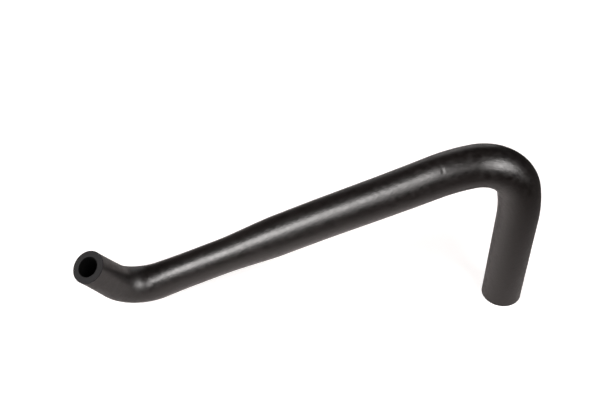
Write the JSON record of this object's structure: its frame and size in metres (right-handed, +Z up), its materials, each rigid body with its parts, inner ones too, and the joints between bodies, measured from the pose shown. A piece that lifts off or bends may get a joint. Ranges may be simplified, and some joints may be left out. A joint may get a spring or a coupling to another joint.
{
  "type": "coolant bypass hose",
  "caption": "Moulded black rubber hose with an elbow near each end and a long run that widens from the small bore to the large one, open right through.",
  "frame": {"origin": "on the bench, under the middle of the hose's box", "axes": "+X along the hose's length from the small end to the large end, +Z up, and the run and the large leg lie in one XZ plane; the small leg is swung towards -Y"},
  "size_m": [0.2698, 0.0402, 0.1175],
  "materials": {
    "black_rubber": "satin moulded EPDM, smooth, with a faint mottle and a fine grain"
  },
  "bodies": {
    "root": {"bypass_hose": "black_rubber"}
  },
  "joints": []
}
